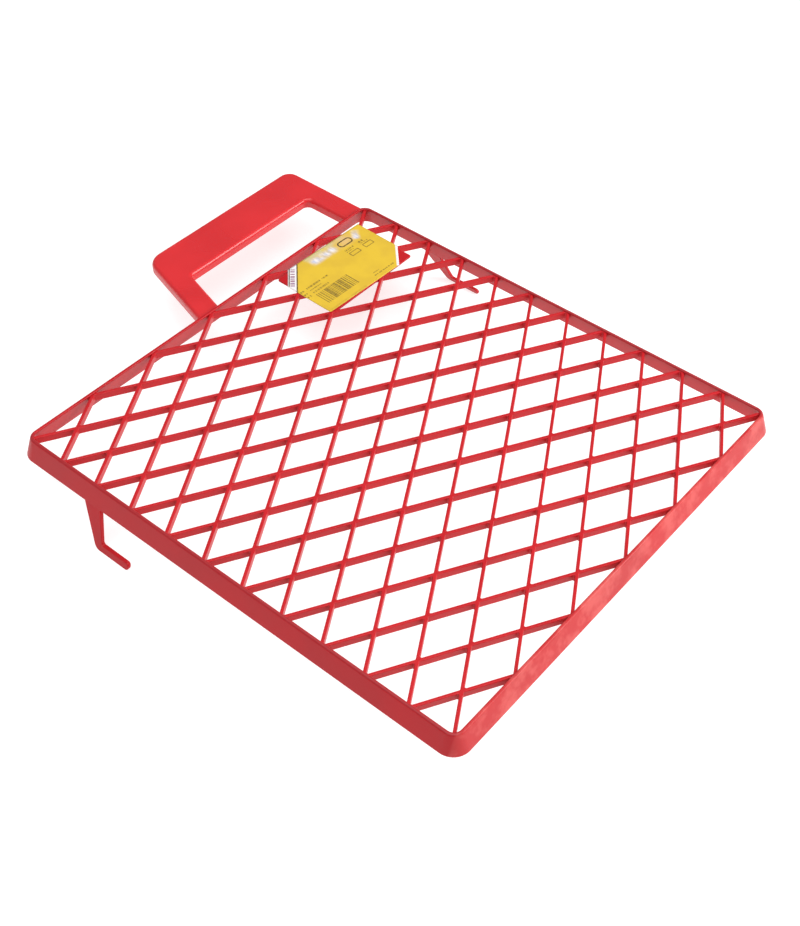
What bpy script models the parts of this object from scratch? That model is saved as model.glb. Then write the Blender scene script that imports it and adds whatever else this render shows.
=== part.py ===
"""Scraper grid for paint rollers, with a loop handle and two hooks that hang it in a bucket.

Lengths are metres. X runs across the grid, +Y runs towards the handle and +Z is up.
The grid lies level, its scraping side up, with the flat undersides of its hooks at Z = 0.
The origin is under the middle of the overall length and width.

The real grid is one moulding. It is modelled as its named sections, each a closed solid,
and GAP is left between a section and the next.
"""
import math

import bmesh
import bpy
from mathutils import Matrix, Vector

# ---------------------------------------------------------------- driving dimensions
GAP = 0.0003                    # between neighbouring solids

RIM_WIDTH = 0.260               # outside, along X, at the rim's top edge
RIM_LENGTH = 0.278              # outside, along Y, at the rim's top edge
RIM_HEIGHT = 0.0117
RIM_CORNER_RADIUS = 0.006       # outside, at the top edge
WALL = 0.0021                   # rim wall, measured level
FLARE_ANGLE = math.radians(17.5)    # the rim leans outwards from top to bottom

RIB_PITCH_X = 0.0433            # nominal width of a diamond
RIB_PITCH_Y = 0.025             # nominal length of a diamond
RIB_WIDTH = 0.0017
RIB_HEIGHT = 0.0041
RIB_TOP_DROP = 0.0009           # rib tops below the rim's top edge
LATTICE_INSET = 0.0015          # rib meeting points inside the rim's outer end edges

PLATE_SIZE_X = 0.0668
PLATE_SIZE_Y = 0.0436
PLATE_THICKNESS = 0.0010
PLATE_CORNER_RADIUS = 0.001
PLATE_FROM_RIGHT = 0.0185       # plate's edge from the rim's right top edge
PLATE_FROM_HANDLE = 0.0092      # plate's edge from the rim's handle-side top edge

LABEL_SIZE_X = 0.0698
LABEL_SIZE_Y = 0.0441
LABEL_THICKNESS = 0.0002
LABEL_LEFT_CUT = 0.0107         # two opposite corners are cut off at 45 degrees
LABEL_RIGHT_CUT = 0.0125
LABEL_TURN = math.radians(-1.6)     # the label was stuck on slightly askew
LABEL_SHIFT = Vector((0.0002, 0.0005))      # its middle from the plate's middle

HANDLE_REACH = 0.062            # grip's outer edge from the rim's handle-side top edge
HANDLE_ROOT_WIDTH = 0.1373      # across both arms where they meet the rim
HANDLE_INSET = 0.0005           # right arm's outer edge inside the rim's right top edge
HANDLE_DROP = 0.002             # handle's top below the rim's top edge
HANDLE_DEPTH = 0.006
HANDLE_SKIN = 0.0022            # top wall of the handle's channel section
HANDLE_LIP = 0.002              # turned-down edges of the channel
GRIP_WIDTH = 0.0294
ARM_WIDTH = 0.0149
ARM_LEAN = math.radians(16.2)   # left arm leans towards the right arm
HANDLE_LEFT_RADIUS = 0.0115
HANDLE_RIGHT_RADIUS = 0.0075
OPENING_LEFT_RADIUS = 0.002
OPENING_RIGHT_RADIUS = 0.004

HOOK_DROP = 0.0205              # hook's underside below the rim's bottom edge
HOOK_THICKNESS = 0.0021
HOOK_LEAN = math.radians(20.8)  # the hook splays outwards from the rim down
HOOK_FROM_HANDLE = 0.0465       # leg's rear edge from the rim's handle-side top edge
HOOK_ROOT_LENGTH = 0.0116       # leg along Y where it leaves the rim
HOOK_REAR_LEAN = 0.0122         # rear edge runs this far forward on its way down
HOOK_FRONT_LEAN = 0.0044        # front edge, down to the bar
HOOK_BAR_HEIGHT = 0.0039
HOOK_BAR_REACH = 0.0195         # bar's tip from the leg's front edge
HOOK_HEEL_RADIUS = 0.005
HOOK_THROAT_RADIUS = 0.0015
HOOK_TIP_RADIUS = 0.0019

ARC_SEGMENTS = 6                # straight pieces in each rounded corner
OVERSHOOT = 0.002               # how far a cutter runs past what it cuts

RED = (0.69, 0.035, 0.04, 1.0)
YELLOW = (0.82, 0.6, 0.06, 1.0)

# ---------------------------------------------------------------- places that follow
SLOPE = math.tan(FLARE_ANGLE)
HALF_WIDTH = RIM_WIDTH / 2
HALF_LENGTH = RIM_LENGTH / 2
RIM_BOTTOM = HOOK_DROP
RIM_TOP = RIM_BOTTOM + RIM_HEIGHT
RIM_CENTRE_Y = (SLOPE * RIM_HEIGHT - HANDLE_REACH) / 2
RIB_TOP = RIM_TOP - RIB_TOP_DROP
RIB_BOTTOM = RIB_TOP - RIB_HEIGHT
HANDLE_TOP = RIM_TOP - HANDLE_DROP
HANDLE_BOTTOM = HANDLE_TOP - HANDLE_DEPTH
GRIP_OUTER_Y = HALF_LENGTH + HANDLE_REACH
GRIP_INNER_Y = GRIP_OUTER_Y - GRIP_WIDTH
ARM_RIGHT_X = HALF_WIDTH - HANDLE_INSET


# ---------------------------------------------------------------- outlines
def rounded(corners, radii):
    """The closed outline through corners, each one rounded to its radius."""
    points = []
    for index, corner in enumerate(corners):
        here = Vector(corner)
        towards_last = (Vector(corners[index - 1]) - here).normalized()
        towards_next = (Vector(corners[(index + 1) % len(corners)]) - here).normalized()
        half_angle = towards_last.angle(towards_next) / 2
        middle = here + (towards_last + towards_next).normalized() * radii[index] / math.sin(half_angle)
        start = here + towards_last * radii[index] / math.tan(half_angle) - middle
        turn = math.pi - 2 * half_angle
        if towards_last.cross(towards_next) > 0:
            turn = -turn
        for step in range(ARC_SEGMENTS + 1):
            spoke = Matrix.Rotation(turn * step / ARC_SEGMENTS, 2) @ start
            points.append(tuple(middle + spoke))
    return points


def rim_outline(offset):
    """The rim's rounded rectangle, grown by offset on every side."""
    x = HALF_WIDTH + offset
    y = HALF_LENGTH + offset
    corners = [(x, y), (-x, y), (-x, -y), (x, -y)]
    return rounded(corners, [RIM_CORNER_RADIUS + offset] * 4)


def flare_at(height):
    """How far the rim's outer face stands out at a height, from its top edge."""
    return SLOPE * (RIM_TOP - height)


# ---------------------------------------------------------------- solids
def new_object(name, mesh_builder, colour=RED, roughness=0.38):
    """Put a bmesh in the scene as an object with its own material."""
    mesh = bpy.data.meshes.new(name)
    bmesh.ops.remove_doubles(mesh_builder, verts=mesh_builder.verts, dist=1e-6)
    bmesh.ops.recalc_face_normals(mesh_builder, faces=mesh_builder.faces)
    mesh_builder.to_mesh(mesh)
    mesh_builder.free()
    mesh.shade_smooth()
    mesh.set_sharp_from_angle(angle=math.radians(30))
    material = bpy.data.materials.new(name)
    material.use_nodes = True
    shader = material.node_tree.nodes["Principled BSDF"]
    shader.inputs["Base Color"].default_value = colour
    shader.inputs["Roughness"].default_value = roughness
    shader.inputs["Metallic"].default_value = 0.0
    mesh.materials.append(material)
    item = bpy.data.objects.new(name, mesh)
    bpy.context.scene.collection.objects.link(item)
    return item


def skin_rings(rings, builder=None):
    """Join closed rings of points, each with as many points, and cap both ends."""
    builder = builder or bmesh.new()
    loops = [[builder.verts.new(point) for point in ring] for ring in rings]
    count = len(loops[0])
    for lower, upper in zip(loops, loops[1:]):
        for index in range(count):
            following = (index + 1) % count
            builder.faces.new((lower[index], lower[following], upper[following], upper[index]))
    builder.faces.new(reversed(loops[0]))
    builder.faces.new(loops[-1])
    return builder


def upright(outline, low, high):
    """An upright solid on an XY outline."""
    rings = [[(x, y, height) for x, y in outline] for height in (low, high)]
    return skin_rings(rings)


def rim_envelope(low, high, offset):
    """A flared solid as wide as the rim's outer face, grown by offset."""
    rings = []
    for height in (low, high):
        rings.append([(x, y, height) for x, y in rim_outline(flare_at(height) + offset)])
    return skin_rings(rings)


def box(low, high):
    """A box between two corners."""
    outline = [(low[0], low[1]), (high[0], low[1]), (high[0], high[1]), (low[0], high[1])]
    return upright(outline, low[2], high[2])


def boolean(item, operation, name, mesh_builder):
    """Cut, keep or join a solid by an EXACT Boolean with a hidden one."""
    tool = new_object(name, mesh_builder)
    tool.hide_render = True
    tool.display_type = "WIRE"
    modifier = item.modifiers.new(name, "BOOLEAN")
    modifier.operation = operation
    modifier.solver = "EXACT"
    modifier.object = tool
    return tool


# ---------------------------------------------------------------- rim
def wall_run(half_along, half_out, offset, height):
    """One side's path, from the middle of a corner to the middle of the next."""
    radius = RIM_CORNER_RADIUS + offset
    trim = GAP / 2 / (RIM_CORNER_RADIUS - WALL)
    centre_x = half_along - RIM_CORNER_RADIUS
    centre_y = half_out - RIM_CORNER_RADIUS
    points = []
    for step in range(ARC_SEGMENTS + 1):
        angle = trim + (math.pi / 4 - trim) * step / ARC_SEGMENTS
        reach = radius * math.cos(math.pi / 4 + angle)
        rise = radius * math.sin(math.pi / 4 + angle)
        points.append((centre_x + reach, centre_y + rise, height))
    mirrored = [(-x, y, height) for x, y, _ in reversed(points)]
    return points + mirrored


def rim_side(name, half_along, half_out, turn):
    """A flared wall along one side, with half of each rounded corner."""
    flare = flare_at(RIM_BOTTOM)
    outer_top = wall_run(half_along, half_out, 0.0, RIM_TOP)
    outer_bottom = wall_run(half_along, half_out, flare, RIM_BOTTOM)
    inner_bottom = wall_run(half_along, half_out, flare - WALL, RIM_BOTTOM)
    inner_top = wall_run(half_along, half_out, -WALL, RIM_TOP)
    sections = list(zip(outer_top, outer_bottom, inner_bottom, inner_top))
    builder = skin_rings(sections)
    bmesh.ops.rotate(builder, verts=builder.verts, cent=(0, 0, 0), matrix=Matrix.Rotation(turn, 3, "Z"))
    return new_object(name, builder)


def make_rim():
    return [
        rim_side("rim_handle_side", HALF_WIDTH, HALF_LENGTH, 0.0),
        rim_side("rim_left_side", HALF_LENGTH, HALF_WIDTH, math.pi / 2),
        rim_side("rim_foot_side", HALF_WIDTH, HALF_LENGTH, math.pi),
        rim_side("rim_right_side", HALF_LENGTH, HALF_WIDTH, -math.pi / 2),
    ]


# ---------------------------------------------------------------- lattice
def rib_family(sense):
    """All the parallel ribs that run one way, as separate bars."""
    cells_x = max(1, round(RIM_WIDTH / RIB_PITCH_X))
    cells_y = max(1, round((RIM_LENGTH - 2 * LATTICE_INSET) / RIB_PITCH_Y))
    across = Vector((sense * cells_x / RIM_WIDTH, cells_y / (RIM_LENGTH - 2 * LATTICE_INSET)))
    along = Vector((-across.y, across.x)).normalized() * (RIM_WIDTH + RIM_LENGTH)
    side = across.normalized() * RIB_WIDTH / 2
    count = cells_x + cells_y - 1
    builder = bmesh.new()
    for index in range(count):
        middle = across / across.length_squared * (index - (count - 1) / 2)
        corners = [middle - along - side, middle + along - side, middle + along + side, middle - along + side]
        rings = [[(point.x, point.y, height) for point in corners] for height in (RIB_BOTTOM, RIB_TOP)]
        skin_rings(rings, builder)
    return builder


def make_lattice():
    """Two families of ribs that cross, trimmed to the rim and relieved for the plate."""
    lattice = new_object("rib_lattice", rib_family(1))
    tools = [
        boolean(lattice, "UNION", "crossing_ribs", rib_family(-1)),
        boolean(lattice, "INTERSECT", "rim_inside", rim_envelope(
            RIB_BOTTOM - OVERSHOOT, RIM_TOP, -WALL - GAP)),
        boolean(lattice, "DIFFERENCE", "plate_seat", upright(
            plate_outline(GAP), RIB_TOP - PLATE_THICKNESS - GAP, RIM_TOP)),
    ]
    return [lattice] + tools


# ---------------------------------------------------------------- label plate and label
def plate_middle():
    x = HALF_WIDTH - PLATE_FROM_RIGHT - PLATE_SIZE_X / 2
    y = HALF_LENGTH - PLATE_FROM_HANDLE - PLATE_SIZE_Y / 2
    return Vector((x, y))


def plate_outline(offset):
    middle = plate_middle()
    x = PLATE_SIZE_X / 2 + offset
    y = PLATE_SIZE_Y / 2 + offset
    corners = [(middle.x + i * x, middle.y + j * y) for i, j in ((1, 1), (-1, 1), (-1, -1), (1, -1))]
    return rounded(corners, [PLATE_CORNER_RADIUS + offset] * 4)


def make_plate():
    return [new_object("label_plate", upright(plate_outline(0.0), RIB_TOP - PLATE_THICKNESS, RIB_TOP))]


def make_label():
    """A six-sided sheet: a rectangle without two opposite corners."""
    x = LABEL_SIZE_X / 2
    y = LABEL_SIZE_Y / 2
    left = LABEL_LEFT_CUT
    right = LABEL_RIGHT_CUT
    corners = [(x, y), (-x + left, y), (-x, y - left), (-x, -y), (x - right, -y), (x, -y + right)]
    middle = plate_middle() + LABEL_SHIFT
    turned = [Matrix.Rotation(LABEL_TURN, 2) @ Vector(corner) + middle for corner in corners]
    low = RIB_TOP + GAP
    outline = [(point.x, point.y) for point in turned]
    return [new_object("label", upright(outline, low, low + LABEL_THICKNESS), YELLOW, 0.5)]


# ---------------------------------------------------------------- handle
def left_arm_x(y, shift):
    """X of a line that leans with the left arm, shift inside its outer edge."""
    root = ARM_RIGHT_X - HANDLE_ROOT_WIDTH
    return root + math.tan(ARM_LEAN) * (y - HALF_LENGTH) + shift / math.cos(ARM_LEAN)


def handle_outline(inset, root_y):
    """The U-shaped outline of grip and arms, drawn in by inset on every free edge."""
    outer_y = GRIP_OUTER_Y - inset
    inner_y = GRIP_INNER_Y + inset
    outer_x = ARM_RIGHT_X - inset
    inner_x = ARM_RIGHT_X - ARM_WIDTH + inset
    arm = ARM_WIDTH - inset
    corners = [
        (left_arm_x(root_y, inset), root_y),
        (left_arm_x(root_y, arm), root_y),
        (left_arm_x(inner_y, arm), inner_y),
        (inner_x, inner_y),
        (inner_x, root_y),
        (outer_x, root_y),
        (outer_x, outer_y),
        (left_arm_x(outer_y, inset), outer_y),
    ]
    radii = [
        0.0,
        0.0,
        OPENING_LEFT_RADIUS + inset,
        OPENING_RIGHT_RADIUS + inset,
        0.0,
        0.0,
        HANDLE_RIGHT_RADIUS - inset,
        HANDLE_LEFT_RADIUS - inset,
    ]
    return rounded(corners, radii)


def handle_section(name, low, high):
    """The part of the channel-section handle that lies in one stretch of X and Y."""
    root_y = HALF_LENGTH - RIM_CORNER_RADIUS
    section = new_object(name, upright(handle_outline(0.0, root_y), HANDLE_BOTTOM, HANDLE_TOP))
    channel = upright(
        handle_outline(HANDLE_LIP, root_y - OVERSHOOT),
        HANDLE_BOTTOM - OVERSHOOT,
        HANDLE_TOP - HANDLE_SKIN,
    )
    rim = rim_envelope(HANDLE_BOTTOM - OVERSHOOT, RIM_TOP, GAP)
    stretch = box((*low, HANDLE_BOTTOM - OVERSHOOT), (*high, HANDLE_TOP + OVERSHOOT))
    tools = [
        boolean(section, "DIFFERENCE", name + "_channel", channel),
        boolean(section, "DIFFERENCE", name + "_rim", rim),
        boolean(section, "INTERSECT", name + "_stretch", stretch),
    ]
    return [section] + tools


def make_handle():
    """The grip and its two arms, parted where the arms leave the grip."""
    left = -HALF_WIDTH - HANDLE_ROOT_WIDTH
    right = ARM_RIGHT_X + OVERSHOOT
    middle = ARM_RIGHT_X - HANDLE_ROOT_WIDTH / 2
    near = HALF_LENGTH - OVERSHOOT
    parting = GRIP_INNER_Y - OPENING_RIGHT_RADIUS
    far = GRIP_OUTER_Y + OVERSHOOT
    return (
        handle_section("handle_grip", (left, parting + GAP / 2), (right, far))
        + handle_section("handle_left_arm", (left, near), (middle, parting - GAP / 2))
        + handle_section("handle_right_arm", (middle, near), (right, parting - GAP / 2))
    )


# ---------------------------------------------------------------- hooks
def hook_outline():
    """The hook seen from the side, as Y and Z: a tapered leg and a bar towards the foot."""
    top = RIM_BOTTOM - GAP
    rear = HALF_LENGTH - HOOK_FROM_HANDLE
    front = rear - HOOK_ROOT_LENGTH
    throat = front - HOOK_FRONT_LEAN
    tip = throat - HOOK_BAR_REACH
    corners = [
        (rear, top),
        (front, top),
        (throat, HOOK_BAR_HEIGHT),
        (tip, HOOK_BAR_HEIGHT),
        (tip, 0.0),
        (rear - HOOK_REAR_LEAN, 0.0),
    ]
    radii = [0.0, 0.0, HOOK_THROAT_RADIUS, HOOK_TIP_RADIUS, HOOK_TIP_RADIUS, HOOK_HEEL_RADIUS]
    return rounded(corners, radii)


def make_hook(name, side):
    """A flat hook that runs on below the rim's side wall, splayed a little more than the wall."""
    outer = []
    inner = []
    for y, height in hook_outline():
        face = HALF_WIDTH + flare_at(RIM_BOTTOM) + math.tan(HOOK_LEAN) * (RIM_BOTTOM - height)
        outer.append((side * face, y, height))
        inner.append((side * (face - HOOK_THICKNESS), y, height))
    return [new_object(name, skin_rings([outer, inner]))]


# ---------------------------------------------------------------- assembly
def clear_scene():
    for item in list(bpy.data.objects):
        bpy.data.objects.remove(item, do_unlink=True)


def main():
    clear_scene()
    pieces = make_rim() + make_lattice() + make_plate() + make_label() + make_handle()
    pieces += make_hook("left_hook", -1) + make_hook("right_hook", 1)
    centre = bpy.data.objects.new("rim_centre", None)
    centre.location = (0.0, RIM_CENTRE_Y, 0.0)
    bpy.context.scene.collection.objects.link(centre)
    for piece in pieces:
        piece.parent = centre


main()
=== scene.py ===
"""Looks of the scraper grid: one red moulding, with its label and the label's print.

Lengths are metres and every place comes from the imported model. Pieces of the moulding
run a little way into each other, so that no parting shows between them.
"""
import math

import bmesh
import bpy
from mathutils import Matrix, Vector


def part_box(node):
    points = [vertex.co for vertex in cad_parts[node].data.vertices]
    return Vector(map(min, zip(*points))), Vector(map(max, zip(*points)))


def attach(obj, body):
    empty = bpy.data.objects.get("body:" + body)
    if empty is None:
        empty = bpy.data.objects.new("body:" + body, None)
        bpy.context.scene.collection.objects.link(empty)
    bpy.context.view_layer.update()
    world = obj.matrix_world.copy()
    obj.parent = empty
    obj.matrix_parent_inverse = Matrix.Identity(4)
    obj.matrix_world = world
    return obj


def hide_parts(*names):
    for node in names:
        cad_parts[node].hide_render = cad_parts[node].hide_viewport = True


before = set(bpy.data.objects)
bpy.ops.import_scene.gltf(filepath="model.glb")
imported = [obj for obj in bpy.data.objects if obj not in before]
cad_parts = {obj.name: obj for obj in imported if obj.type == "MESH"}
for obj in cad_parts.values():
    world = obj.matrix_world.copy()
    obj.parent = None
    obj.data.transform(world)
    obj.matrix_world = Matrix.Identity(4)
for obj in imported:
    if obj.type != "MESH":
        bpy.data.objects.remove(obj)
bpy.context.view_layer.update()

# ---------------------------------------------------------------- places from the frame
MM = 0.001
FLARE = math.tan(math.radians(17.5))            # the rim leans outwards from top to bottom
WALL = 2.1 * MM
CORNER_RADIUS = 6 * MM                          # in plan, at the rim's top edge
CELLS_X, CELLS_Y = 6, 11                        # diamonds across and along
LATTICE_INSET = 1.5 * MM
RIB_WIDTH = 1.7 * MM
SINK = 0.4 * MM                                 # how far a piece runs into its neighbour
SHARP_ANGLE = math.radians(35)                  # faces that meet at more than this keep a hard edge
SAME_PLACE = 0.01 * MM                          # vertices of a tree nearer than this are welded

rim_low, rim_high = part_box("rim_left_side")
RIM_TOP = rim_high.z
RIM_BOTTOM = rim_low.z
HALF_WIDTH = -rim_low.x - FLARE * (RIM_TOP - RIM_BOTTOM)
foot_low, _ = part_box("rim_foot_side")
_, handle_side_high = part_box("rim_handle_side")
HALF_LENGTH = (handle_side_high.y - foot_low.y) / 2 - FLARE * (RIM_TOP - RIM_BOTTOM)
CENTRE_Y = (handle_side_high.y + foot_low.y) / 2
rib_low, rib_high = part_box("rib_lattice")
plate_low, plate_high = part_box("label_plate")
label_low, label_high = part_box("label")
grip_low, grip_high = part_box("handle_grip")
arm_low, arm_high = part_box("handle_right_arm")


# ---------------------------------------------------------------- outlines and meshes
def rounded(corners, radii, segments):
    """The closed outline through corners, each one rounded to its radius."""
    points = []
    for index, corner in enumerate(corners):
        here = Vector(corner)
        towards_last = (Vector(corners[index - 1]) - here).normalized()
        towards_next = (Vector(corners[(index + 1) % len(corners)]) - here).normalized()
        half_angle = towards_last.angle(towards_next) / 2
        middle = here + (towards_last + towards_next).normalized() * radii[index] / math.sin(half_angle)
        start = here + towards_last * radii[index] / math.tan(half_angle) - middle
        turn = math.pi - 2 * half_angle
        if towards_last.cross(towards_next) > 0:
            turn = -turn
        for step in range(segments + 1):
            points.append(middle + Matrix.Rotation(turn * step / segments, 2) @ start)
    return points


def join_loops(builder, lower, upper):
    """Faces between two closed loops of as many vertices."""
    count = len(lower)
    for index in range(count):
        following = (index + 1) % count
        builder.faces.new((lower[index], lower[following], upper[following], upper[index]))


def loft(rings, closed=False):
    """A mesh through closed rings of points, its ends capped, or joined if closed."""
    builder = bmesh.new()
    loops = [[builder.verts.new(point) for point in ring] for ring in rings]
    for lower, upper in zip(loops, loops[1:]):
        join_loops(builder, lower, upper)
    if closed:
        join_loops(builder, loops[-1], loops[0])
    else:
        builder.faces.new(reversed(loops[0]))
        builder.faces.new(loops[-1])
    return builder


def new_object(name, data):
    """Put a mesh, a light or a camera in the scene."""
    item = bpy.data.objects.new(name, data)
    bpy.context.scene.collection.objects.link(item)
    return item


def new_piece(name, builder):
    """Put a bmesh in the scene, its faces outwards, smooth up to a sharp angle."""
    bmesh.ops.remove_doubles(builder, verts=builder.verts, dist=1e-7)
    bmesh.ops.recalc_face_normals(builder, faces=builder.faces)
    mesh = bpy.data.meshes.new(name)
    builder.to_mesh(mesh)
    builder.free()
    mesh.shade_smooth()
    mesh.set_sharp_from_angle(angle=SHARP_ANGLE)
    return new_object(name, mesh)


def settle(piece):
    """Turn a piece with modifiers into a plain mesh and drop the modifiers."""
    graph = bpy.context.evaluated_depsgraph_get()
    mesh = bpy.data.meshes.new_from_object(piece.evaluated_get(graph))
    piece.modifiers.clear()
    piece.data = mesh
    mesh.name = piece.name
    return piece


def soften_flats(piece):
    """Keep large faces flat beside their rounded edges."""
    modifier = piece.modifiers.new("flat_faces", "WEIGHTED_NORMAL")
    modifier.keep_sharp = True
    modifier.weight = 80


# ---------------------------------------------------------------- shader helpers
class Nodes:
    """A short way to write a node tree."""

    def __init__(self, tree):
        self.tree = tree

    def add(self, kind, **settings):
        node = self.tree.nodes.new(kind)
        for key, value in settings.items():
            setattr(node, key, value)
        return node

    def feed(self, socket, value):
        if isinstance(value, bpy.types.NodeSocket):
            self.tree.links.new(value, socket)
        else:
            socket.default_value = value

    def math(self, operation, first, second=0.0, clamp=False):
        node = self.add("ShaderNodeMath", operation=operation, use_clamp=clamp)
        self.feed(node.inputs[0], first)
        self.feed(node.inputs[1], second)
        return node.outputs[0]

    def noise(self, vector, scale, detail=3.0, roughness=0.5):
        node = self.add("ShaderNodeTexNoise")
        self.feed(node.inputs["Vector"], vector)
        self.feed(node.inputs["Scale"], scale)
        node.inputs["Detail"].default_value = detail
        node.inputs["Roughness"].default_value = roughness
        return node.outputs["Fac"]

    def ramp(self, value, low, high, low_out=0.0, high_out=1.0):
        """A value eased from low_out to high_out as it goes from low to high."""
        node = self.add("ShaderNodeMapRange", interpolation_type="SMOOTHSTEP")
        for socket, entry in zip(node.inputs[:5], (value, low, high, low_out, high_out)):
            self.feed(socket, entry)
        return node.outputs[0]

    def mix(self, factor, first, second):
        node = self.add("ShaderNodeMix", data_type="RGBA")
        self.feed(node.inputs[0], factor)
        self.feed(node.inputs[6], first)
        self.feed(node.inputs[7], second)
        return node.outputs[2]

    def split(self, vector):
        """The X, Y and Z of a vector, by name."""
        node = self.add("ShaderNodeSeparateXYZ")
        self.feed(node.inputs[0], vector)
        return node.outputs

    def join(self, **parts):
        """A vector with the X, Y or Z given, and 0 for the rest."""
        node = self.add("ShaderNodeCombineXYZ")
        for axis, value in parts.items():
            self.feed(node.inputs[axis], value)
        return node.outputs[0]

    def mapped(self, vector, place=(0, 0, 0), turn=0.0, scale=(1, 1, 1)):
        """Coordinates measured from a place, on axes turned about Z."""
        node = self.add("ShaderNodeMapping", vector_type="TEXTURE")
        self.feed(node.inputs["Vector"], vector)
        node.inputs["Location"].default_value = place
        node.inputs["Rotation"].default_value = (0, 0, turn)
        node.inputs["Scale"].default_value = scale
        return node.outputs[0]

    def group(self, tree, **values):
        node = self.add("ShaderNodeGroup", node_tree=tree)
        for key, value in values.items():
            self.feed(node.inputs[key.replace("_", " ")], value)
        return node


def new_group(name, inputs, outputs):
    """An empty shader group with float or vector inputs and float outputs."""
    tree = bpy.data.node_groups.new(name, "ShaderNodeTree")
    for label, kind in inputs:
        tree.interface.new_socket(label, in_out="INPUT", socket_type="NodeSocket" + kind)
    for label, kind in outputs:
        tree.interface.new_socket(label, in_out="OUTPUT", socket_type="NodeSocket" + kind)
    nodes = Nodes(tree)
    return nodes, nodes.add("NodeGroupInput"), nodes.add("NodeGroupOutput")


def make_grain_group():
    """Fine mould texture with slow flow marks, for any moulded or printed face."""
    nodes, entry, leave = new_group(
        "surface_grain",
        [("Vector", "Vector"), ("Grain Scale", "Float"), ("Flow Scale", "Float")],
        [("Height", "Float"), ("Mottle", "Float")],
    )
    vector = entry.outputs["Vector"]
    fine = nodes.noise(vector, entry.outputs["Grain Scale"], 4.0, 0.6)
    flow = nodes.noise(vector, entry.outputs["Flow Scale"], 2.0, 0.45)
    nodes.feed(leave.inputs["Height"], nodes.math("ADD", fine, nodes.math("MULTIPLY", flow, 0.8)))
    nodes.feed(leave.inputs["Mottle"], flow)
    return nodes.tree


def make_scuff_group():
    """Hairline marks from handling, in two directions, that come and go."""
    nodes, entry, leave = new_group(
        "handling_marks",
        [("Vector", "Vector"), ("Amount", "Float"), ("Turn", "Float")],
        [("Mask", "Float")],
    )
    masks = []
    for stretch in ((1, 14, 14), (11, 1, 11)):
        turned = nodes.add("ShaderNodeVectorRotate", rotation_type="Z_AXIS")
        nodes.feed(turned.inputs["Vector"], entry.outputs["Vector"])
        nodes.feed(turned.inputs["Angle"], entry.outputs["Turn"])
        long = nodes.mapped(turned.outputs[0], scale=[1 / part for part in stretch])
        masks.append(nodes.ramp(nodes.noise(long, 130, 5.0, 0.62), 0.68, 0.76))
    patches = nodes.ramp(nodes.noise(entry.outputs["Vector"], 26, 2.0), 0.5, 0.66)
    both = nodes.math("MAXIMUM", masks[0], masks[1])
    worn = nodes.math("MULTIPLY", nodes.math("MULTIPLY", both, patches), entry.outputs["Amount"], True)
    nodes.feed(leave.inputs["Mask"], worn)
    return nodes.tree


def make_patch_group():
    """1 inside a rectangle about the origin of the coordinates given, 0 outside."""
    nodes, entry, leave = new_group(
        "print_patch",
        [("Vector", "Vector"), ("Half Width", "Float"), ("Half Height", "Float"), ("Softness", "Float")],
        [("Mask", "Float")],
    )
    split = nodes.split(entry.outputs["Vector"])
    sides = []
    for axis, half in (("X", "Half Width"), ("Y", "Half Height")):
        inside = nodes.math("SUBTRACT", entry.outputs[half], nodes.math("ABSOLUTE", split[axis]))
        soft = entry.outputs["Softness"]
        sides.append(nodes.ramp(inside, nodes.math("MULTIPLY", soft, -1.0), soft))
    nodes.feed(leave.inputs["Mask"], nodes.math("MULTIPLY", *sides))
    return nodes.tree


GRAIN = make_grain_group()
SCUFFS = make_scuff_group()
PATCH = make_patch_group()


def new_material(name):
    material = bpy.data.materials.new(name)
    material.use_nodes = True
    nodes = Nodes(material.node_tree)
    shader = material.node_tree.nodes["Principled BSDF"]
    place = nodes.add("ShaderNodeTexCoord").outputs["Object"]
    return material, nodes, shader, place


def bump(nodes, shader, height, distance, strength):
    node = nodes.add("ShaderNodeBump")
    node.inputs["Strength"].default_value = strength
    node.inputs["Distance"].default_value = distance
    nodes.feed(node.inputs["Height"], height)
    nodes.feed(shader.inputs["Normal"], node.outputs[0])


# ---------------------------------------------------------------- materials
RED_PALE = (0.78, 0.09, 0.08, 1.0)
# Painted sheen, pale pink, for the foot wall's outer face.
RED_PAINTED_SHEEN = (0.80, 0.18, 0.16, 1.0)
# Painted shade and sheen, a dark dull red, for the top edge of the rim's long sides.
RED_PAINTED_EDGE_SHADE = (0.385, 0.026, 0.032, 1.0)


def side_top_painted_shade(nodes, place):
    """Painted shade and sheen: 1 on the top edge of the rim's two long sides, fading out round the corners.
    """
    split = nodes.split(place)
    from_middle = nodes.math("ABSOLUTE", split["X"])
    high = nodes.ramp(split["Z"], RIM_TOP - 0.75 * MM, RIM_TOP - 0.25 * MM)
    side = nodes.ramp(from_middle, HALF_WIDTH - 6 * MM, HALF_WIDTH - 2.4 * MM)
    return nodes.math("MULTIPLY", high, side)


def foot_painted_sheen(nodes, place):
    """Painted sheen: cloudy paler patches on the foot wall's outer face and top edge, 0 elsewhere."""
    edge = CENTRE_Y - HALF_LENGTH
    outside = nodes.ramp(nodes.split(place)["Y"], edge + 2.4 * MM, edge + 1.2 * MM)
    cloud = nodes.ramp(nodes.noise(place, 85, 3.0, 0.6), 0.42, 0.68, 0.25, 1.0)
    return nodes.math("MULTIPLY", outside, cloud)


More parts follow.
